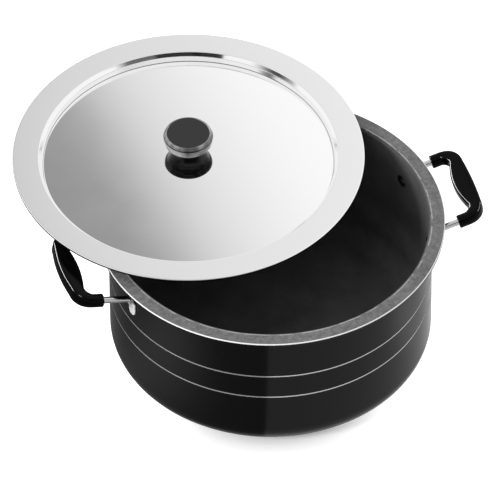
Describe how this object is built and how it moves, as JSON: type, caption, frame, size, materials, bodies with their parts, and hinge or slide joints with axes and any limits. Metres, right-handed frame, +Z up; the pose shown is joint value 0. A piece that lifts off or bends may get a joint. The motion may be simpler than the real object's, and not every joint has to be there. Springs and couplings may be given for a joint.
{
  "type": "cooking pot",
  "caption": "Deep straight-walled cooking pot with a flat rim, wire handles with moulded grips, and a recessed lid with a waisted knob, laid off-centre on the rim.",
  "frame": {"origin": "centre of the pot's flat base, on its underside", "axes": "+Z up along the pot's axis, +X towards the right-hand handle, and the lid's centre lies towards -X and +Y"},
  "size_m": [0.3699, 0.3768, 0.1663],
  "materials": {
    "pot_metal": "satin",
    "lid_steel": "polished",
    "black_moulding": "satin",
    "bright_trim": "polished",
    "grey_disc": "satin",
    "screw_steel": "satin",
    "bright_wire": "polished",
    "rivet_metal": "satin"
  },
  "bodies": {
    "root": {"pot_body": "pot_metal", "lid_plate": "lid_steel", "knob_base": "black_moulding", "knob_cap": "bright_trim", "knob_disc": "grey_disc", "knob_screw": "screw_steel", "knob_washer": "screw_steel", "left_handle_wire": "bright_wire", "right_handle_wire": "bright_wire", "left_handle_grip": "black_moulding", "right_handle_grip": "black_moulding", "left_front_rivet": "rivet_metal", "left_rear_rivet": "rivet_metal", "right_front_rivet": "rivet_metal", "right_rear_rivet": "rivet_metal"}
  },
  "joints": []
}
